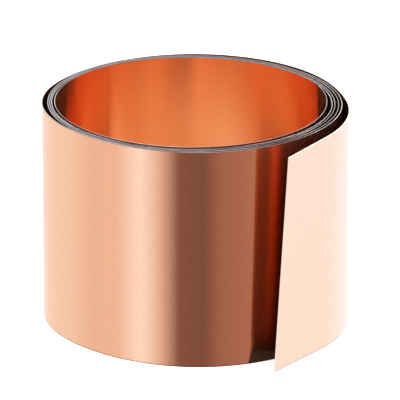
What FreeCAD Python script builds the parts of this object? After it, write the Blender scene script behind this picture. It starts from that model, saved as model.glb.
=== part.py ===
"""A roll of bare copper strip, standing on its edge.

One strip is wound into a little over five loose turns. Its outer end stands off the roll as a tail and
its inner end stands off the inner wall. The strip is built as lengths that meet end to end: the tail
and the inner end are chains of short lengths on fine hinges, and each turn is a length of its own.

Each length is drawn in its own frame, which starts on the middle line of the strip and heads along it.
"""
import FreeCAD, Part
import math
import os
import Sketcher

# Driving dimensions, in millimetres and degrees.
DIMENSIONS = {
    "strip_width": 50.0,
    "strip_thickness": 0.2,
    "hinge_clearance": 0.03,
    "seat_overrun": 1.0,
    "turn_gap_sweep": 0.2,
    # Where the tail leaves the roll, from the roll's middle, and the strip's heading there.
    "root_across": 33.9,
    "root_along": 0.7,
    "root_heading": 98.5,
    # The tail: a bend and then a straight end. Its foot bends further than its top, so it leans.
    "tail_bend_length": 24.9,
    "tail_bend_top": 40.6,
    "tail_bend_foot": 45.6,
    "tail_straight_top": 16.0,
    "tail_straight_foot": 17.2,
    # The flatter stretch that leads from the tail into the first turn.
    "lead_radius": 50.6,
    "lead_sweep": 15.0,
    # Bending radius of each eighth of a turn: the outermost turn is looser than the ones inside it.
    "outer_eighth_1": 34.4,
    "outer_eighth_2": 31.8,
    "outer_eighth_3": 36.5,
    "outer_eighth_4": 29.5,
    "outer_eighth_5": 39.6,
    "outer_eighth_6": 30.9,
    "outer_eighth_7": 34.2,
    "outer_eighth_8": 33.3,
    "inner_eighth_1": 36.6,
    "inner_eighth_2": 33.1,
    "inner_eighth_3": 32.5,
    "inner_eighth_4": 34.6,
    "inner_eighth_5": 35.7,
    "inner_eighth_6": 32.6,
    "inner_eighth_7": 33.8,
    "inner_eighth_8": 33.2,
    # How far each turn winds inwards over its own length.
    "inward_1": 1.18,
    "inward_2": 0.55,
    "inward_3": 0.67,
    "inward_4": 0.45,
    "inward_5": 1.21,
    # The free inner end, bent less than the turns.
    "inner_end_radius": 33.2,
    "inner_end_sweep": 40.0,
}

TURNS = 5
EIGHTHS = 8
EIGHTH_SWEEP = "45"
TAIL_BEND_LENGTHS = 3
TAIL_STRAIGHT_LENGTHS = 2
INNER_END_LENGTHS = 4

UP = FreeCAD.Vector(0, 0, 1)
START, END, CENTRE = 1, 2, 3    # the points of a sketched line or arc
ORIGIN_POINT = (-1, 1)
X_AXIS, Y_AXIS = -1, -2
HALF_THICKNESS = "Dims.strip_thickness / 2"
SEAT_RADIUS = "(Dims.strip_thickness / 2 + Dims.hinge_clearance)"

doc = FreeCAD.newDocument("copper_strip_roll")
sheet = doc.addObject("Spreadsheet::Sheet", "Dims")


def fill_sheet():
    """Write every driving dimension into a cell that carries its name."""
    for row, (name, size) in enumerate(DIMENSIONS.items(), start=1):
        cell = "B{}".format(row)
        sheet.set("A{}".format(row), name)
        sheet.set(cell, str(size))
        sheet.setAlias(cell, name)
    doc.recompute()


def value(expression):
    """The number that an expression over the sheet works out to."""
    result = sheet.evalExpression(expression)
    return float(getattr(result, "Value", result))


def line(length):
    return {"kind": "line", "length": length}


def arc(radius, sweep):
    return {"kind": "arc", "radius": radius, "sweep": sweep}


def step(run):
    """The move from the start of a run of strip to its end, along the strip's middle line."""
    if run["kind"] == "line":
        return FreeCAD.Placement(FreeCAD.Vector(value(run["length"]), 0, 0), FreeCAD.Rotation())
    radius = value(run["radius"])
    sweep = value(run["sweep"])
    ahead = radius * math.sin(math.radians(sweep))
    aside = radius * (1 - math.cos(math.radians(sweep)))
    return FreeCAD.Placement(FreeCAD.Vector(ahead, aside, 0), FreeCAD.Rotation(UP, sweep))


def constrain(sketch, expression, *what):
    """Add a dimension to a sketch and bind it to the sheet."""
    index = sketch.addConstraint(Sketcher.Constraint(*what))
    name = "size_{}".format(index)
    sketch.renameConstraint(index, name)
    sketch.setExpression("Constraints." + name, expression)


def draw_face(sketch, runs, side):
    """Draw one face of the strip as tangent lines and arcs, and return their indices.

    side is 1 for the face away from the roll's middle and -1 for the face towards it.
    """
    offset = value(HALF_THICKNESS) * side
    pen = FreeCAD.Placement()
    edges = []
    for run in runs:
        if run["kind"] == "line":
            shape = Part.LineSegment(FreeCAD.Vector(0, -offset, 0),
                                     FreeCAD.Vector(value(run["length"]), -offset, 0))
        else:
            radius = value(run["radius"])
            circle = Part.Circle(FreeCAD.Vector(0, radius, 0), UP, radius + offset)
            shape = Part.ArcOfCircle(circle, -math.pi / 2, -math.pi / 2 + math.radians(value(run["sweep"])))
        shape.transform(pen.toMatrix())
        edge = sketch.addGeometry(shape, False)
        if edges:
            sketch.addConstraint(Sketcher.Constraint("Tangent", edges[-1], END, edge, START))
        if run["kind"] == "line":
            constrain(sketch, run["length"], "Distance", edge, value(run["length"]))
        else:
            bound_radius = "{} {} {}".format(run["radius"], "+" if side > 0 else "-", HALF_THICKNESS)
            constrain(sketch, bound_radius, "Radius", edge, value(run["radius"]) + offset)
            constrain(sketch, run["sweep"], "Angle", edge, math.radians(value(run["sweep"])))
        edges.append(edge)
        pen = pen.multiply(step(run))
    first = edges[0]
    sketch.addConstraint(Sketcher.Constraint("PointOnObject", first, START, Y_AXIS))
    constrain(sketch, HALF_THICKNESS, "Distance", first, START, X_AXIS, abs(offset))
    if runs[0]["kind"] == "line":
        sketch.addConstraint(Sketcher.Constraint("Horizontal", first))
    else:
        sketch.addConstraint(Sketcher.Constraint("PointOnObject", first, CENTRE, Y_AXIS))
    return edges


def close_end(sketch, before, before_point, after, after_point, rounded):
    """Join two faces of the strip with a square cut, or with a half round for a hinge."""
    geometry = sketch.Geometry
    first = geometry[before].StartPoint if before_point == START else geometry[before].EndPoint
    second = geometry[after].StartPoint if after_point == START else geometry[after].EndPoint
    if not rounded:
        edge = sketch.addGeometry(Part.LineSegment(first, second), False)
        sketch.addConstraint(Sketcher.Constraint("Coincident", before, before_point, edge, START))
        sketch.addConstraint(Sketcher.Constraint("Coincident", after, after_point, edge, END))
        return
    middle = (first + second) * 0.5
    spoke = first - middle
    angle = math.atan2(spoke.y, spoke.x)
    circle = Part.Circle(middle, UP, spoke.Length)
    edge = sketch.addGeometry(Part.ArcOfCircle(circle, angle, angle + math.pi), False)
    sketch.addConstraint(Sketcher.Constraint("Tangent", before, before_point, edge, START))
    sketch.addConstraint(Sketcher.Constraint("Coincident", after, after_point, edge, END))


def add_sketch(body, name, frame=None):
    """A sketch on the body's own ground plane, moved to a frame of its own if one is given."""
    sketch = body.newObject("Sketcher::SketchObject", name)
    plane = next(item for item in body.Origin.OriginFeatures if item.Role == "XY_Plane")
    sketch.AttachmentSupport = [(plane, "")]
    sketch.MapMode = "FlatFace"
    if frame is not None:
        sketch.AttachmentOffset = frame
    return sketch


def draw_outline(sketch, runs, round_start, round_end):
    """The strip seen from above: both faces, closed at each end."""
    outer = draw_face(sketch, runs, 1)
    inner = draw_face(sketch, runs, -1)
    close_end(sketch, outer[-1], END, inner[-1], END, round_end)
    close_end(sketch, inner[0], START, outer[0], START, round_start)


def draw_seat(sketch):
    """The circle that hollows an end of the strip around a hinge's axis."""
    circle = Part.Circle(FreeCAD.Vector(0, 0, 0), UP, value(SEAT_RADIUS))
    edge = sketch.addGeometry(circle, False)
    sketch.addConstraint(Sketcher.Constraint("Coincident", edge, CENTRE, *ORIGIN_POINT))
    constrain(sketch, SEAT_RADIUS, "Radius", edge, value(SEAT_RADIUS))


def upright_length(name, frame, runs, round_start=False, round_end=False, seats=()):
    """A length of strip that stands upright: its outline, raised by the strip's width."""
    body = doc.addObject("PartDesign::Body", name)
    outline = add_sketch(body, name + "_outline")
    draw_outline(outline, runs, round_start, round_end)
    pad = body.newObject("PartDesign::Pad", name + "_pad")
    pad.Profile = outline
    pad.setExpression("Length", "Dims.strip_width")
    for number, seat in enumerate(seats, start=1):
        circle = add_sketch(body, "{}_seat_{}".format(name, number), seat)
        draw_seat(circle)
        pocket = body.newObject("PartDesign::Pocket", "{}_pocket_{}".format(name, number))
        pocket.Profile = circle
        pocket.Reversed = True
        pocket.setExpression("Length", "Dims.strip_width")
    body.Placement = frame
    return body


def bore_seat(body, name, lean):
    """Hollow the start of a leaning length along the axis of its hinge, right through both edges."""
    seat = body.newObject("PartDesign::SubtractiveCylinder", name + "_seat")
    seat.setExpression("Radius", SEAT_RADIUS)
    seat.setExpression("Height", "Dims.strip_width + 2 * Dims.seat_overrun")
    tilt = FreeCAD.Rotation(UP, lean)
    seat.Placement = FreeCAD.Placement(tilt.multVec(UP) * -value("Dims.seat_overrun"), tilt)


def leaning_length(name, foot_frame, foot_run, top_frame, top_run, seated):
    """A length of strip whose top and foot follow different lines, ruled from one to the other."""
    body = doc.addObject("PartDesign::Body", name)
    foot = add_sketch(body, name + "_foot")
    draw_outline(foot, [foot_run], round_start=False, round_end=True)
    top_offset = foot_frame.inverse().multiply(top_frame)
    top = add_sketch(body, name + "_top", top_offset)
    top.setExpression("AttachmentOffset.Base.z", "Dims.strip_width")
    draw_outline(top, [top_run], round_start=False, round_end=True)
    loft = body.newObject("PartDesign::AdditiveLoft", name + "_loft")
    loft.Profile = foot
    loft.Sections = [top]
    loft.Ruled = True
    if seated:
        bore_seat(body, name, top_offset.Base + UP * value("Dims.strip_width"))
    body.Placement = foot_frame
    return body


def share(expression, parts):
    return "{} / {}".format(expression, parts)


def tail_runs(edge):
    """The tail's runs along one edge of the strip, from the roll out to the free end."""
    sweep = "Dims.tail_bend_" + edge
    bend = arc("Dims.tail_bend_length / {} * 180 / pi".format(sweep), share(sweep, TAIL_BEND_LENGTHS))
    straight = line(share("Dims.tail_straight_" + edge, TAIL_STRAIGHT_LENGTHS))
    return [bend] * TAIL_BEND_LENGTHS + [straight] * TAIL_STRAIGHT_LENGTHS


def build_tail(root):
    """The chain of leaning lengths, numbered from the free end in to the roll."""
    lengths = {}
    hinges = {}
    foot = FreeCAD.Placement(root)
    top = FreeCAD.Placement(root)
    feet = tail_runs("foot")
    tops = tail_runs("top")
    for number in range(len(feet), 0, -1):
        index = len(feet) - number
        name = "tail_{}".format(number)
        hinges[name] = (foot.Base, top.Base + UP * value("Dims.strip_width"))
        foot = foot.multiply(step(feet[index]).inverse())
        top = top.multiply(step(tops[index]).inverse())
        lengths[name] = leaning_length(name, foot, feet[index], top, tops[index], seated=number > 1)
    return lengths, hinges


def eighth(turn, number):
    """One eighth of a turn, tighter than the one before by its share of the inward winding."""
    shape = "outer" if turn == 1 else "inner"
    wound = ["Dims.inward_{}".format(done) for done in range(1, turn)]
    wound.append("Dims.inward_{} * {} / {}".format(turn, number, EIGHTHS))
    return arc("Dims.{}_eighth_{} - ({})".format(shape, number, " + ".join(wound)), EIGHTH_SWEEP)


def turn_runs(turn):
    """The runs of one turn. The first leads in from the tail, and the last is an eighth short."""
    last = EIGHTHS if turn < TURNS else EIGHTHS - 1
    runs = [eighth(turn, number) for number in range(1, last + 1)]
    if turn == 1:
        return [arc("Dims.lead_radius", "Dims.lead_sweep")] + runs
    return runs


def build_turns(root):
    """The turns, from the outside in, with a narrow gap between the end of one and the next."""
    lengths = {}
    pen = FreeCAD.Placement(root)
    for turn in range(1, TURNS + 1):
        runs = turn_runs(turn)
        if turn > 1:
            gap = arc(runs[0]["radius"], "Dims.turn_gap_sweep")
            pen = pen.multiply(step(gap))
            runs[0] = arc(runs[0]["radius"], EIGHTH_SWEEP + " - Dims.turn_gap_sweep")
        move = FreeCAD.Placement()
        for run in runs:
            move = move.multiply(step(run))
        seats = []
        if turn == 1:
            seats.append(FreeCAD.Placement())
        if turn == TURNS:
            seats.append(move)
        name = "turn_{}".format(turn)
        lengths[name] = upright_length(name, pen, runs, seats=seats)
        pen = pen.multiply(move)
    return lengths, pen


def build_inner_end(start):
    """The chain of lengths at the free inner end, numbered from the roll to the free end."""
    lengths = {}
    hinges = {}
    pen = FreeCAD.Placement(start)
    run = arc("Dims.inner_end_radius", share("Dims.inner_end_sweep", INNER_END_LENGTHS))
    for number in range(1, INNER_END_LENGTHS + 1):
        name = "inner_end_{}".format(number)
        hinges[name] = (pen.Base, pen.Base + UP * value("Dims.strip_width"))
        seats = [step(run)] if number < INNER_END_LENGTHS else []
        lengths[name] = upright_length(name, pen, [run], round_start=True, seats=seats)
        pen = pen.multiply(step(run))
    return lengths, hinges


def centre_on_origin(bodies):
    """Stand the roll so that its box is centred on the origin, and return the move made."""
    box = Part.makeCompound([body.Shape for body in bodies]).optimalBoundingBox(False, False)
    move = FreeCAD.Vector(-box.Center.x, -box.Center.y, -box.ZMin)
    for body in bodies:
        body.Placement = FreeCAD.Placement(move, FreeCAD.Rotation()).multiply(body.Placement)
    doc.recompute()
    return move


def check_document(bodies):
    """Stop if any feature failed, or if any length isn't one valid closed solid."""
    for item in doc.Objects:
        if "Invalid" in item.State or "Error" in item.State:
            raise RuntimeError("{} failed: {}".format(item.Name, item.State))
    for name, body in bodies.items():
        shape = body.Shape
        if shape.isNull() or not shape.isValid() or len(shape.Solids) != 1:
            raise RuntimeError("{} is not one valid solid".format(name))


def main():
    fill_sheet()
    across = value("Dims.root_across")
    along = value("Dims.root_along")
    heading = FreeCAD.Rotation(UP, value("Dims.root_heading"))
    root = FreeCAD.Placement(FreeCAD.Vector(across, along, 0), heading)
    tail, tail_hinges = build_tail(root)
    turns, inner_start = build_turns(root)
    inner_end, inner_hinges = build_inner_end(inner_start)
    bodies = {**tail, **turns, **inner_end}
    doc.recompute()
    check_document(bodies)
    move = centre_on_origin(list(bodies.values()))
    check_document(bodies)

    os.makedirs("parts", exist_ok=True)
    for name, body in bodies.items():
        body.Label = name
        body.Shape.exportStep("parts/{}.step".format(name))
        print("{} volume {:.3f}".format(name, body.Shape.Volume))
    print("roll middle at {:.4f} {:.4f}".format(move.x, move.y))
    for name, (foot, top) in {**tail_hinges, **inner_hinges}.items():
        foot = foot + move
        top = top + move
        print("hinge {} {:.5f} {:.5f} {:.5f} {:.5f}".format(name, foot.x, foot.y, top.x, top.y))


main()
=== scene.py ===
import math

import bpy
import numpy as np
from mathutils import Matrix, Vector


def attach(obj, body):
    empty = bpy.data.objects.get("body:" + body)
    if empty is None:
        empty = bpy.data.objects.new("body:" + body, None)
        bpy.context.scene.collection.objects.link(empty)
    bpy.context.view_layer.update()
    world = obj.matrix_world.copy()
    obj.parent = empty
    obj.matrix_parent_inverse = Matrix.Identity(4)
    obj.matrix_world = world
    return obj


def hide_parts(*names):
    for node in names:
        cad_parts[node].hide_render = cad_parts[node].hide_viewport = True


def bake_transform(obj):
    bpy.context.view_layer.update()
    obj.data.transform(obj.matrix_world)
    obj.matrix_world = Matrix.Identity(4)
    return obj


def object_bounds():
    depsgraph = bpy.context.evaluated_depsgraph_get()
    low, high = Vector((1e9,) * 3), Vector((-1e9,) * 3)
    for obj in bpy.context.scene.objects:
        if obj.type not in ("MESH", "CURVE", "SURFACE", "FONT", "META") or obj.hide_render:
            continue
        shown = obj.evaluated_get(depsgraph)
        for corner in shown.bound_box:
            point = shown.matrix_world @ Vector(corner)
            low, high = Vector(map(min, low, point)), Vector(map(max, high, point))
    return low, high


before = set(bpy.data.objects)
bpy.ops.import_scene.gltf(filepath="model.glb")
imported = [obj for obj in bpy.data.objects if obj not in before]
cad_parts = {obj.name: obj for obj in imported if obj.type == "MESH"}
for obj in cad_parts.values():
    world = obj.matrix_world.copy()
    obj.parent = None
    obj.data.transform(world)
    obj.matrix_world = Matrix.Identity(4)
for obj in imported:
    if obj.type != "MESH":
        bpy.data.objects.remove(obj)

TAIL = ["tail_1", "tail_2", "tail_3", "tail_4", "tail_5"]
TURNS = ["turn_1", "turn_2", "turn_3", "turn_4", "turn_5"]
INNER = ["inner_end_1", "inner_end_2", "inner_end_3", "inner_end_4"]
ORDER = TAIL + TURNS + INNER      # along the strip, from its outer tip to its inner tip

MM = 0.001
THICKNESS = 0.2 * MM
EDGE_ROUND = 0.085 * MM           # the rounding that slitting leaves along both edges
ROUND_ANGLES = (22.5, 45.0, 67.5, 90.0)
COLUMN_STEP = 0.5 * MM            # spacing of the mesh along the strip
END_ROOM = 0.2 * COLUMN_STEP      # the least length of the first and last columns of a piece
FACE_ROWS = 12                    # rows of the mesh across each face of the strip
JOIN_REACH = 4.0 * MM             # how far the pieces at the tail and the inner end run into the turn beside them

# How the CAD nodes are read.
WELD = 0.0001 * MM                # corners this close are one
ON_LEVEL = 0.001 * MM             # corners this near a level are on it
FACE_STEP = 2.2 * THICKNESS       # steps on the faces of the strip are at least this long
LINE_STEP = 3 * MM                # the longest step of a line before it is divided

# The strip's waves. A wavelength is given for each radian.
LONG_WAVE_LENGTH = 17.3 * MM
LONG_WAVE_DEPTH = 0.006 * MM
LONG_WAVE_LAG = 1.7               # in radians, from the strip's foot to its top
EDGE_WAVE_LENGTH = 7.1 * MM
EDGE_WAVE_DEPTH = 0.008 * MM
EDGE_WAVE_DRIFT = 2.9             # in radians, how far the edge wave drifts either way
EDGE_DRIFT_LENGTH = 61.0 * MM

# Small steps that slopes are taken over.
AHEAD_STEP = 0.01 * MM
WAVE_STEP = 0.02 * MM

start_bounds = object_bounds()
LOW, HIGH = start_bounds
WIDTH = HIGH.z - LOW.z

# The strip's map counts up its outer face from 0, and up its inner face from INNER_START.
INNER_START = 2 * WIDTH
BETWEEN_FACES = (1.4 * WIDTH, 1.6 * WIDTH)


# ---------------------------------------------------------------- the strip's line

def ring(node, level):
    """The closed outline of a CAD node at one level, as points in order."""
    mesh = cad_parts[node].data
    points = np.array([v.co for v in mesh.vertices])
    keys = {}
    same = [keys.setdefault(tuple(np.round(p / WELD).astype(int)), len(keys)) for p in points]
    places = np.zeros((len(keys), 3))
    places[same] = points
    here = np.abs(places[:, 2] - level) < ON_LEVEL
    links = {}
    for face in mesh.polygons:
        corners = [same[v] for v in face.vertices]
        low = [c for c in corners if here[c]]
        if len(low) == 2 and len(corners) == 3:
            links.setdefault(low[0], set()).add(low[1])
            links.setdefault(low[1], set()).add(low[0])
    first = next(iter(links))
    loop, before, now = [first], None, first
    while True:
        after = next((c for c in links[now] if c != before), None)
        if after is None or after == first:
            break
        loop.append(after)
        before, now = now, after
    return places[loop][:, :2]


def middle_line(node, level):
    """The middle of the strip along a CAD node at one level, in the strip's own direction."""
    loop = ring(node, level)
    steps = np.linalg.norm(np.roll(loop, -1, axis=0) - loop, axis=1)
    start = next(i for i in range(len(loop)) if steps[i - 1] < FACE_STEP <= steps[i])
    loop = np.roll(loop, -start, axis=0)
    steps = np.roll(steps, -start)
    sides, side = [], [loop[0]]
    for index in range(len(loop)):
        following = loop[(index + 1) % len(loop)]
        if steps[index] >= FACE_STEP:
            side.append(following)
        else:
            if len(side) > 1:
                sides.append(np.array(side))
            side = [following]
    if len(side) > 1:
        sides.append(np.array(side))
    one, other = sides[0], sides[1][::-1]
    count = max(len(one), len(other))
    middle = (at_shares(one, count) + at_shares(other, count)) / 2
    winding = np.cross(middle[:-1], middle[1:]).sum()
    return middle if winding > 0 else middle[::-1]


def lengths_along(line):
    """How far along a line each of its points is."""
    return np.concatenate([[0], np.cumsum(np.linalg.norm(np.diff(line, axis=0), axis=1))])


def at_shares(line, count):
    """A line's own points where it has enough of them, else points at equal shares of its length."""
    if len(line) == count:
        return line
    along = lengths_along(line)
    wanted = np.linspace(0, along[-1], count)
    return np.column_stack([np.interp(wanted, along, line[:, i]) for i in range(2)])


def add_points(line):
    """Divide a line's long straight steps."""
    out = [line[0]]
    for a, b in zip(line[:-1], line[1:]):
        parts = max(1, math.ceil(np.linalg.norm(b - a) / LINE_STEP))
        out += [a + (b - a) * (i + 1) / parts for i in range(parts)]
    return np.array(out)


class Spline:
    """A natural cubic spline through values at increasing places."""

    def __init__(self, places, values):
        self.x, self.y = np.asarray(places), np.asarray(values)
        n = len(self.x)
        h = np.diff(self.x)
        rows = np.eye(n)
        right = np.zeros((n, self.y.shape[1]))
        for i in range(1, n - 1):
            rows[i, i - 1:i + 2] = [h[i - 1], 2 * (h[i - 1] + h[i]), h[i]]
            right[i] = 6 * ((self.y[i + 1] - self.y[i]) / h[i] - (self.y[i] - self.y[i - 1]) / h[i - 1])
        self.m = np.linalg.solve(rows, right)
        self.h = h

    def __call__(self, places):
        s = np.asarray(places)
        i = np.clip(np.searchsorted(self.x, s) - 1, 0, len(self.h) - 1)
        h = self.h[i][:, None]
        a = (self.x[i + 1] - s)[:, None]
        b = (s - self.x[i])[:, None]
        low, high = self.m[i], self.m[i + 1]
        return (low * a ** 3 + high * b ** 3) / (6 * h) + (self.y[i] / h - low * h / 6) * a \
            + (self.y[i + 1] / h - high * h / 6) * b


def read_strip():
    """Splines for the strip's foot and top lines, and the place where each node starts and ends."""
    foot_lines = [add_points(middle_line(node, LOW.z)) for node in ORDER]
    top_lines = [add_points(middle_line(node, HIGH.z)) for node in ORDER]
    spans, splines, reach = {}, [], 0.0
    for node, foot, top in zip(ORDER, foot_lines, top_lines):
        size = (lengths_along(foot)[-1] + lengths_along(top)[-1]) / 2
        spans[node] = (reach, reach + size)
        reach += size
    for lines in (foot_lines, top_lines):
        places, points = [], []
        for node, line in zip(ORDER, lines):
            start, end = spans[node]
            along = lengths_along(line)
            own = start + along / along[-1] * (end - start)
            if points:
                points[-1] = (points[-1] + line[0]) / 2
                own, line = own[1:], line[1:]
            places += list(own)
            points += list(line)
        splines.append(Spline(places, points))
    return splines[0], splines[1], spans


FOOT_LINE, TOP_LINE, SPANS = read_strip()
TAIL_END = SPANS[TAIL[-1]][1]
STRIP_LENGTH = SPANS[ORDER[-1]][1]


# ---------------------------------------------------------------- the strip's mesh

def wave(place, height):
    """Slight waves left by rolling and slitting, largest at the edges. Place and height in metres."""
    share = height / WIDTH
    edge = (2 * share - 1) ** 2
    drift = EDGE_WAVE_DRIFT * np.sin(place / EDGE_DRIFT_LENGTH)
    long_wave = LONG_WAVE_DEPTH * np.sin(place / LONG_WAVE_LENGTH + LONG_WAVE_LAG * share)
    edge_wave = EDGE_WAVE_DEPTH * np.sin(place / EDGE_WAVE_LENGTH + drift) * edge
    return long_wave + edge_wave


def strip_surface(places, heights, offsets):
    """Points of the strip and the level way out of it: rows of places, columns of heights and offsets."""
    foot, top = FOOT_LINE(places), TOP_LINE(places)
    foot_ahead = FOOT_LINE(places + AHEAD_STEP) - FOOT_LINE(places - AHEAD_STEP)
    top_ahead = TOP_LINE(places + AHEAD_STEP) - TOP_LINE(places - AHEAD_STEP)
    share = (heights / WIDTH)[None, :, None]
    middle = foot[:, None, :] * (1 - share) + top[:, None, :] * share
    ahead = foot_ahead[:, None, :] * (1 - share) + top_ahead[:, None, :] * share
    ahead /= np.linalg.norm(ahead, axis=2, keepdims=True)
    out = np.stack([ahead[..., 1], -ahead[..., 0]], axis=2)
    shift = offsets[None, :] + wave(places[:, None], heights[None, :])
    flat = middle + out * shift[..., None]
    upright = np.broadcast_to(LOW.z + heights[None, :, None], flat.shape[:2] + (1,))
    return np.concatenate([flat, upright], axis=2), out


def profile():
    """The strip's cross-section, going round: offset from the middle, height, and the normal's angle."""
    half = THICKNESS / 2
    inset = EDGE_ROUND
    rise = np.linspace(inset, WIDTH - inset, FACE_ROWS)
    top_out = [(half - inset + inset * math.cos(a), WIDTH - inset + inset * math.sin(a), a)
               for a in np.radians(ROUND_ANGLES)]
    top_in = [(-o, z, math.pi - a) for o, z, a in reversed(top_out)]
    points = [(half, z, 0.0) for z in rise] + top_out + top_in + [(-half, z, math.pi) for z in rise[::-1]]
    points += [(-o, WIDTH - z, math.pi + a) for o, z, a in top_out]
    points += [(o, WIDTH - z, -a) for o, z, a in reversed(top_out)]
    return np.array(points)


PROFILE = profile()
OFFSETS, HEIGHTS, ANGLES = PROFILE.T
ROUNDED = np.minimum(HEIGHTS, WIDTH - HEIGHTS) < EDGE_ROUND + ON_LEVEL    # the rows along both edges
AROUND = len(PROFILE)


def columns_between(first, last):
    """Places for the columns of a piece: on one even spacing along the whole strip, and at both ends."""
    inner = np.arange(math.ceil(first / COLUMN_STEP), math.floor(last / COLUMN_STEP) + 1) * COLUMN_STEP
    inner = inner[(inner > first + END_ROOM) & (inner < last - END_ROOM)]
    return np.concatenate([[first], inner, [last]])


def strip_normals(places, out):
    """Exact shading normals of the waved, leaning strip with rounded edges, and the way along it."""
    heights = HEIGHTS[None, :]
    slope_along = (wave(places[:, None] + WAVE_STEP, heights)
                   - wave(places[:, None] - WAVE_STEP, heights)) / (2 * WAVE_STEP)
    slope_up = (wave(places[:, None], heights + WAVE_STEP)
                - wave(places[:, None], heights - WAVE_STEP)) / (2 * WAVE_STEP)
    ahead = np.stack([-out[..., 1], out[..., 0]], axis=2)
    across = (TOP_LINE(places) - FOOT_LINE(places)) / WIDTH
    lean = (across[:, None, :] * out).sum(axis=2)
    flat = out - ahead * slope_along[..., None]
    side = np.concatenate([flat, -(slope_up + lean)[..., None]], axis=2)
    up = np.zeros_like(side)
    up[..., 2] = 1
    normals = side * np.cos(ANGLES)[None, :, None] + up * np.sin(ANGLES)[None, :, None]
    return normals / np.linalg.norm(normals, axis=2, keepdims=True), ahead


def strip_faces(normals, ahead):
    """The faces of a closed piece, with a normal for each corner and a mark of 1 on the edge's faces."""
    columns = len(normals)
    corner_normals = normals.reshape(-1, 3)
    faces, loop_normals, marks = [], [], []
    for base in range(0, (columns - 1) * AROUND, AROUND):
        for row in range(AROUND):
            after = (row + 1) % AROUND
            corners = [base + row, base + AROUND + row, base + AROUND + after, base + after]
            faces.append(corners)
            loop_normals += [corner_normals[c] for c in corners]
            marks.append(1 if ROUNDED[row] and ROUNDED[after] else 0)
    ends = ((0, range(AROUND), -1), (columns - 1, reversed(range(AROUND)), 1))
    for column, rows, way in ends:
        faces.append([column * AROUND + row for row in rows])
        normal = np.append(way * ahead[column].mean(axis=0), 0.0)
        loop_normals += [normal / np.linalg.norm(normal)] * AROUND
        marks.append(1)
    return faces, loop_normals, marks


def strip_piece(name, first, last, looks):
    """A closed length of strip between two places along it. Its map says where it is on the strip."""
    places = columns_between(first, last)
    points, out = strip_surface(places, HEIGHTS, OFFSETS)
    faces, loop_normals, marks = strip_faces(*strip_normals(places, out))

    mesh = bpy.data.meshes.new(name)
    mesh.from_pydata(points.reshape(-1, 3).tolist(), [], faces)
    mesh.polygons.foreach_set("use_smooth", [True] * len(faces))
    mesh.polygons.foreach_set("material_index", marks)
    strip_map = mesh.uv_layers.new(name="strip")
    along = np.repeat(places, AROUND)
    inner_face = np.where(np.cos(ANGLES) < 0, INNER_START, 0.0)
    height = np.tile(HEIGHTS + inner_face, len(places))
    corner = np.zeros(len(mesh.loops), dtype=np.int32)
    mesh.loops.foreach_get("vertex_index", corner)
    uv = np.column_stack([along[corner], height[corner]])
    strip_map.data.foreach_set("uv", uv.astype(np.float32).ravel())
    for material in looks:
        mesh.materials.append(material)
    mesh.update()
    mesh.normals_split_custom_set([tuple(n) for n in loop_normals])
    piece = bpy.data.objects.new(name, mesh)
    bpy.context.scene.collection.objects.link(piece)
    return piece


# ---------------------------------------------------------------- materials

# Each look is a pair of colours that a fine noise goes between.
OUTER_COPPER = ((0.90, 0.53, 0.345), (0.94, 0.57, 0.385))
# Painted reflection: the inner face is the same copper, painted deeper and redder for the light that
# bounces between the turns.
INNER_BOUNCE_COPPER = ((0.93, 0.48, 0.26), (0.96, 0.52, 0.29))
# Painted shade: a dark band along the outer face's foot, where it stands on the floor.
FOOT_SHADE = ((0.16, 0.07, 0.05), (0.30, 0.14, 0.10))
# Painted light on the roll's sheared edges: a grey highlight, bright in some stretches and unlit in
# others, and painted shade on the shoulders.
EDGE_UNLIT_PAINT = ((0.18, 0.16, 0.16), (0.36, 0.33, 0.33))
EDGE_HIGHLIGHT_PAINT = ((0.75, 0.72, 0.72), (1.00, 0.98, 0.97))
EDGE_SHOULDER_SHADE = ((0.03, 0.02, 0.018), (0.07, 0.045, 0.04))
FRESH_EDGE = ((0.95, 0.80, 0.66), (1.00, 0.92, 0.82))

# Painted shade on the tail's inner face, which faces the roll across a narrow gap: its colour at its foot
# and at its top, and the share of the tail where the painted shade starts to clear.
TAIL_GAP_SHADE = ((0.34, 0.17, 0.12), (0.76, 0.34, 0.19))
TAIL_GAP_SHADE_CLEARS = 0.6

FOOT_SHADE_HEIGHTS = (0.08 * MM, 0.32 * MM)    # above the foot, where the painted shade starts to fade and is gone
CREST_SLOPES = (0.88, 0.99)               # upright part of the normal, at the shoulder and at the crest: the crest gets the painted highlight, the shoulders painted shade
EDGE_HIGHLIGHT_RANGE = (0.42, 0.6)                # of the noise, from the painted unlit stretches to the painted highlight
FRESH_FADE = 20 * MM                      # how far past the tail the edge is still partly fresh, before the roll's painted highlight and shade take over

COPPER_ROUGHNESS = (0.12, 0.17)
EDGE_ROUGHNESS = (0.30, 0.45)
ANISOTROPY = 0.9                          # reflections run out up and down, across the rolling lines
QUARTER_TURN = 0.25                       # of the anisotropy, away from the strip's own direction
LINE_BUMP = 0.35
LINE_DEPTH = 0.01 * MM

# Noises: the size of a grain along the strip, its size across, and the levels of detail.
ROLLING_LINES = (9 * MM, 0.16 * MM, 3)
MOTTLING = (1.1 * MM, 0.35 * MM, 4)
TEARING = (0.35 * MM, 0.05 * MM, 2)
# Stretches of the roll's edges with and without the painted highlight.
EDGE_HIGHLIGHT_STRETCHES = (22 * MM, 3 * MM, 2)
NOISE_ROUGHNESS = 0.6
NOISE_RANGE = (0.3, 0.7)                  # the middle range of a noise, where most of it lies


def new_material(name):
    material = bpy.data.materials.new(name)
    material.use_nodes = True
    tree = material.node_tree
    shader = next(node for node in tree.nodes if node.type == "BSDF_PRINCIPLED")
    return material, tree, shader


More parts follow.
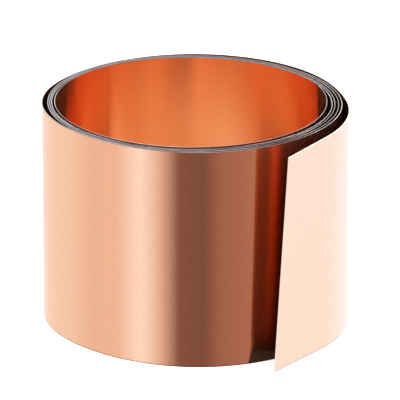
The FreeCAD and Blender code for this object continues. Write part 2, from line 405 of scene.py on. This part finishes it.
def strip_noise(tree, source, along, across, detail):
    """Noise drawn out along the strip: along and across are its sizes in metres."""
    scale = tree.nodes.new("ShaderNodeMapping")
    scale.inputs["Scale"].default_value = (1 / along, 1 / across, 1)
    tree.links.new(source, scale.inputs["Vector"])
    noise = tree.nodes.new("ShaderNodeTexNoise")
    noise.noise_dimensions = "2D"
    noise.inputs["Scale"].default_value = 1.0
    noise.inputs["Detail"].default_value = detail
    noise.inputs["Roughness"].default_value = NOISE_ROUGHNESS
    tree.links.new(scale.outputs["Vector"], noise.inputs["Vector"])
    return noise.outputs["Fac"]


def spread(tree, source, source_range, to_range=(0, 1)):
    """Map one range of a value onto another, and hold it at both ends."""
    node = tree.nodes.new("ShaderNodeMapRange")
    node.inputs["From Min"].default_value, node.inputs["From Max"].default_value = source_range
    node.inputs["To Min"].default_value, node.inputs["To Max"].default_value = to_range
    tree.links.new(source, node.inputs["Value"])
    return node.outputs["Result"]


def mix(tree, share, first, second):
    """Mix two colours, each a fixed colour or the output of a node."""
    node = tree.nodes.new("ShaderNodeMix")
    node.data_type = "RGBA"
    tree.links.new(share, node.inputs["Factor"])
    for name, colour in (("A", first), ("B", second)):
        if isinstance(colour, tuple):
            node.inputs[name].default_value = (*colour, 1)
        else:
            tree.links.new(colour, node.inputs[name])
    return node.outputs["Result"]


def strip_place(tree):
    """A point's place on the strip's map, in metres: both together, then along the strip, then up it."""
    strip = tree.nodes.new("ShaderNodeUVMap")
    strip.uv_map = "strip"
    parts = tree.nodes.new("ShaderNodeSeparateXYZ")
    tree.links.new(strip.outputs["UV"], parts.inputs["Vector"])
    return strip.outputs["UV"], parts.outputs["X"], parts.outputs["Y"]


def copper_material():
    """Bright rolled copper with fine lines and soft mottling; painted shade at the outer face's foot and
    on the tail's inner face, and a deeper orange painted on the inner face for the light bouncing between
    the turns.
    """
    material, tree, shader = new_material("rolled_copper")
    shader.inputs["Metallic"].default_value = 1.0
    shader.inputs["Anisotropic"].default_value = ANISOTROPY
    shader.inputs["Anisotropic Rotation"].default_value = QUARTER_TURN
    place, along, height = strip_place(tree)
    lines = strip_noise(tree, place, *ROLLING_LINES)
    mottle = spread(tree, strip_noise(tree, place, *MOTTLING), NOISE_RANGE)
    above_foot_shade = spread(tree, height, FOOT_SHADE_HEIGHTS)
    # The outer face, with painted shade at its foot that fades out above it.
    outer = mix(tree, above_foot_shade, mix(tree, mottle, *FOOT_SHADE), mix(tree, mottle, *OUTER_COPPER))
    # Painted shade on the tail's inner face, darkest at its foot and paler at its top.
    tail_gap_shaded = mix(tree, spread(tree, height, (INNER_START, INNER_START + WIDTH)), *TAIL_GAP_SHADE)
    past_tail = spread(tree, along, (TAIL_GAP_SHADE_CLEARS * TAIL_END, TAIL_END))
    # Inside the roll the inner face takes the deeper orange painted for the light bouncing between the
    # turns.
    inner = mix(tree, past_tail, tail_gap_shaded, mix(tree, mottle, *INNER_BOUNCE_COPPER))
    inside = spread(tree, height, BETWEEN_FACES)
    tree.links.new(mix(tree, inside, outer, inner), shader.inputs["Base Color"])
    tree.links.new(spread(tree, lines, NOISE_RANGE, COPPER_ROUGHNESS), shader.inputs["Roughness"])
    tangent = tree.nodes.new("ShaderNodeTangent")
    tangent.direction_type = "UV_MAP"
    tangent.uv_map = "strip"
    tree.links.new(tangent.outputs["Tangent"], shader.inputs["Tangent"])
    bump = tree.nodes.new("ShaderNodeBump")
    bump.inputs["Strength"].default_value = LINE_BUMP
    bump.inputs["Distance"].default_value = LINE_DEPTH
    tree.links.new(lines, bump.inputs["Height"])
    tree.links.new(bump.outputs["Normal"], shader.inputs["Normal"])
    return material


def edge_material():
    """The sheared edge: painted shade on its shoulders and a painted grey highlight on its up-facing
    crest, bright in some stretches and unlit in others; pale on the tail.
    """
    material, tree, shader = new_material("sheared_edge")
    shader.inputs["Metallic"].default_value = 1.0
    place, along, _ = strip_place(tree)
    tear = spread(tree, strip_noise(tree, place, *TEARING), NOISE_RANGE)
    shape = tree.nodes.new("ShaderNodeNewGeometry")
    facing = tree.nodes.new("ShaderNodeSeparateXYZ")
    tree.links.new(shape.outputs["Normal"], facing.inputs["Vector"])
    # The up-facing crest gets the painted highlight; the sloping shoulders get painted shade.
    crest = spread(tree, facing.outputs["Z"], CREST_SLOPES)
    # Along the roll the edge highlight is painted bright in some stretches and unlit in others.
    lit_stretches = spread(tree, strip_noise(tree, place, *EDGE_HIGHLIGHT_STRETCHES), EDGE_HIGHLIGHT_RANGE)
    crest_highlight = mix(tree, lit_stretches, mix(tree, tear, *EDGE_UNLIT_PAINT), mix(tree, tear, *EDGE_HIGHLIGHT_PAINT))
    edge_highlight_and_shade = mix(tree, crest, mix(tree, tear, *EDGE_SHOULDER_SHADE), crest_highlight)
    roll_edge_share = spread(tree, along, (TAIL_END, TAIL_END + FRESH_FADE))
    tree.links.new(mix(tree, roll_edge_share, mix(tree, tear, *FRESH_EDGE), edge_highlight_and_shade), shader.inputs["Base Color"])
    tree.links.new(spread(tree, tear, NOISE_RANGE, EDGE_ROUGHNESS), shader.inputs["Roughness"])
    return material


# ---------------------------------------------------------------- pieces and bodies

FAR_SIDE_TRIES = 721              # places along a turn, among which its far side is looked for


def middle_of(node):
    start, end = SPANS[node]
    return (start + end) / 2


def point_at(place):
    """The middle of the strip at a place along it, half way up."""
    flat = (FOOT_LINE([place])[0] + TOP_LINE([place])[0]) / 2
    return Vector((flat[0], flat[1], LOW.z + WIDTH / 2))


def hinge_piece(parent, child, parent_end, looks, tip=None):
    """A length of strip from the end of the piece before it to the middle of the next node, run on to the
    tip if it has one, in place of that node's CAD part.
    """
    child_end = middle_of(child)
    far = child_end if tip is None else tip
    piece = strip_piece("strip_" + child, min(parent_end, far), max(parent_end, far), looks)
    start, end = point_at(parent_end), point_at(child_end)
    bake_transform(piece)
    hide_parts(child)


def build_tail(looks):
    """The tail, from the roll out to its tip. Returns the place where the roll takes over."""
    reach = TAIL_END + JOIN_REACH
    parent, parent_end = TURNS[0], reach
    for child in reversed(TAIL):
        hinge_piece(parent, child, parent_end, looks, tip=0.0 if child == TAIL[0] else None)
        parent, parent_end = child, middle_of(child)
    return reach


def build_inner_end(looks):
    """The inner end, from the roll in to its tip. Returns the place where the roll stops."""
    reach = SPANS[TURNS[-1]][1] - JOIN_REACH
    parent, parent_end = TURNS[-1], reach
    for child in INNER:
        hinge_piece(parent, child, parent_end, looks, tip=STRIP_LENGTH if child == INNER[-1] else None)
        parent, parent_end = child, middle_of(child)
    return reach


def far_side(turn):
    """The place on a turn that is opposite the joins between turns."""
    join = point_at(SPANS[TURNS[0]][1])
    towards = np.array([join.x, join.y]) / math.hypot(join.x, join.y)
    places = np.linspace(*SPANS[turn], FAR_SIDE_TRIES)
    return places[np.argmin(FOOT_LINE(places) @ towards)]


def build_turns(first, last, looks):
    """Half turns, split at each turn's far side and at the joins between turns; the outer turn's back
    half and the inner turn's front half go on those turns' bodies.
    """
    sides = [far_side(turn) for turn in TURNS]
    outside = strip_piece("strip_turn_1_back", first, sides[0], looks)
    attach(outside, TURNS[0])
    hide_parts(TURNS[0])
    for index, (turn, following) in enumerate(zip(TURNS[:-1], TURNS[1:])):
        join = SPANS[turn][1]
        here, ahead, between = point_at(sides[index]), point_at(sides[index + 1]), point_at(join)
        front = strip_piece("strip_{}_front".format(turn), sides[index], join, looks)
        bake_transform(front)
        back = strip_piece("strip_{}_back".format(following), join, sides[index + 1], looks)
        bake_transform(back)
        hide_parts(following)
    inside = strip_piece("strip_turn_5_front", sides[-1], last, looks)
    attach(inside, TURNS[-1])


def build_strip():
    looks = (copper_material(), edge_material())
    first = build_tail(looks)
    last = build_inner_end(looks)
    build_turns(first, last, looks)


# ---------------------------------------------------------------- studio

# The gels on the studio's soft panels.
WHITE = (1.0, 1.0, 1.0)
COOL = (1.0, 1.15, 1.3)
BLUE = (1.0, 1.25, 1.5)
PEACH = (1.0, 0.87, 0.82)
AMBER = (1.0, 0.55, 0.45)

# The soft panels that stand round the object: the middle of each, in degrees anticlockwise from +X,
# its brightness and its gel. Each fades evenly into the next.
PANELS = {
    "right_edge": (0, 1.0, COOL),
    "right_wash_start": (20, 1.08, BLUE),
    "right_wash_end": (50, 1.08, BLUE),
    "back": (100, 1.05, WHITE),
    "left_back": (160, 1.0, WHITE),
    "left_wash_start": (184, 0.93, PEACH),
    "left_wash_end": (204, 0.97, PEACH),
    "key": (221, 1.1, COOL),
    "key_end": (236, 0.88, PEACH),
    "dark_start": (253, 0.25, AMBER),
    "dark_end": (274, 0.21, AMBER),
    "dim_start": (289, 0.38, AMBER),
    "dim_end": (318, 0.47, AMBER),
    "right_front": (332, 0.8, PEACH),
}
OVERHEAD = (2.6, 2.6, 2.6)
OVERHEAD_HEIGHTS = (0.2, 0.5)     # upright part of the direction, where it starts and is full

FLOOR_SIZE = 6.0
FLOOR_COLOUR = (0.9, 0.9, 0.9)
FLOOR_ROUGHNESS = 0.9
FLOOR_GLOSS = 0.1
FLOOR_GLOW = 0.30

# Painted shade: a dark card that only reflections see, standing in for the shadowed floor between the
# tail and the roll.
GAP_SHADE_COLOUR = (0.02, 0.012, 0.01)
GAP_SHADE_REACH = 3.0 * MM             # how far the painted gap shade runs on along the roll past the tail's tip
GAP_SHADE_POINTS = 24                  # points along each side of the painted gap shade
NEAREST_TRIES = 1441              # places along the outer turn, among which the nearest is looked for

CAMERA_ELEVATION = math.radians(20.0)
CAMERA_DISTANCE = 1.273
CAMERA_LENS = 513.0
CAMERA_SENSOR = 36.0
CAMERA_CLIP = (0.05, 20.0)
AIM_FROM_CENTRE = Vector((1.05 * MM, 0.91 * MM, 2.06 * MM))


def panel_stops():
    """Each panel's place on a ramp that starts and ends at 180 degrees, in order, with its colour."""
    stops = [(((degrees + 180) % 360) / 360, brightness * np.array(gel))
             for degrees, brightness, gel in PANELS.values()]
    return sorted(stops, key=lambda stop: stop[0])


def fill_ramp(ramp):
    """Put the panels on the ramp, with one colour at both of its ends, where the ring closes."""
    stops = panel_stops()
    (first, first_colour), (last, last_colour) = stops[0], stops[-1]
    seam = last_colour + (first_colour - last_colour) * (1 - last) / (1 - last + first)
    for end in ramp.elements:
        end.color = (*seam, 1)
    for position, colour in stops:
        ramp.elements.new(position).color = (*colour, 1)


def build_world():
    """A ring of soft panels round the object, with a wide soft panel overhead."""
    world = bpy.data.worlds.new("studio")
    bpy.context.scene.world = world
    world.use_nodes = True
    tree = world.node_tree
    background = next(node for node in tree.nodes if node.type == "BACKGROUND")
    direction = tree.nodes.new("ShaderNodeTexCoord")
    parts = tree.nodes.new("ShaderNodeSeparateXYZ")
    tree.links.new(direction.outputs["Generated"], parts.inputs["Vector"])
    angle = tree.nodes.new("ShaderNodeMath")
    angle.operation = "ARCTAN2"
    tree.links.new(parts.outputs["Y"], angle.inputs[0])
    tree.links.new(parts.outputs["X"], angle.inputs[1])
    ramp = tree.nodes.new("ShaderNodeValToRGB")
    fill_ramp(ramp.color_ramp)
    tree.links.new(spread(tree, angle.outputs["Value"], (-math.pi, math.pi)), ramp.inputs["Fac"])
    overhead = spread(tree, parts.outputs["Z"], OVERHEAD_HEIGHTS)
    overhead.node.interpolation_type = "SMOOTHSTEP"
    tree.links.new(mix(tree, overhead, ramp.outputs["Color"], OVERHEAD), background.inputs["Color"])


def build_floor():
    """A pale floor. It isn't mirrored in the copper, which shows the ring of panels past it instead."""
    bpy.ops.mesh.primitive_plane_add(size=FLOOR_SIZE, location=(0, 0, LOW.z))
    floor = bpy.context.object
    floor.name = "floor"
    floor.visible_glossy = False
    material, _, shader = new_material("pale_floor")
    shader.inputs["Base Color"].default_value = (*FLOOR_COLOUR, 1)
    shader.inputs["Roughness"].default_value = FLOOR_ROUGHNESS
    shader.inputs["Specular IOR Level"].default_value = FLOOR_GLOSS
    shader.inputs["Emission Color"].default_value = (*WHITE, 1)
    shader.inputs["Emission Strength"].default_value = FLOOR_GLOW
    floor.data.materials.append(material)


def build_gap_shade_card():
    """A dark card on the floor between the tail and the roll, seen only in reflections: painted shade,
    standing in for the shadowed floor in that gap.
    """
    tail_places = np.linspace(0, TAIL_END, GAP_SHADE_POINTS)
    tail_line = FOOT_LINE(tail_places)
    turn_places = np.linspace(*SPANS[TURNS[0]], NEAREST_TRIES)
    turn_line = FOOT_LINE(turn_places)
    nearest = [turn_places[np.argmin(np.linalg.norm(turn_line - point, axis=1))] for point in tail_line]
    reach = GAP_SHADE_REACH * (1 - tail_places / TAIL_END)
    points = [(*point, LOW.z) for point in list(tail_line) + list(FOOT_LINE(nearest - reach))]
    faces = [(i, i + 1, GAP_SHADE_POINTS + i + 1, GAP_SHADE_POINTS + i) for i in range(GAP_SHADE_POINTS - 1)]
    mesh = bpy.data.meshes.new("gap_shade_card")
    mesh.from_pydata(points, [], faces)
    gap_shade_card = bpy.data.objects.new("gap_shade_card", mesh)
    bpy.context.scene.collection.objects.link(gap_shade_card)
    gap_shade_card.visible_camera = False
    gap_shade_card.visible_diffuse = False
    gap_shade_card.visible_shadow = False
    material, _, shader = new_material("painted_gap_shade")
    shader.inputs["Base Color"].default_value = (*GAP_SHADE_COLOUR, 1)
    shader.inputs["Roughness"].default_value = 1.0
    mesh.materials.append(material)


def build_camera():
    data = bpy.data.cameras.new("camera")
    data.lens = CAMERA_LENS
    data.sensor_width = CAMERA_SENSOR
    data.clip_start, data.clip_end = CAMERA_CLIP
    camera = bpy.data.objects.new("camera", data)
    aim = (LOW + HIGH) / 2 + AIM_FROM_CENTRE
    back = Vector((0, -math.cos(CAMERA_ELEVATION), math.sin(CAMERA_ELEVATION)))
    camera.location = aim + back * CAMERA_DISTANCE
    camera.rotation_euler = (math.pi / 2 - CAMERA_ELEVATION, 0, 0)
    bpy.context.scene.collection.objects.link(camera)
    bpy.context.scene.camera = camera


bpy.context.scene.view_settings.view_transform = "Standard"
build_camera()
build_world()
build_floor()
build_gap_shade_card()
build_strip()
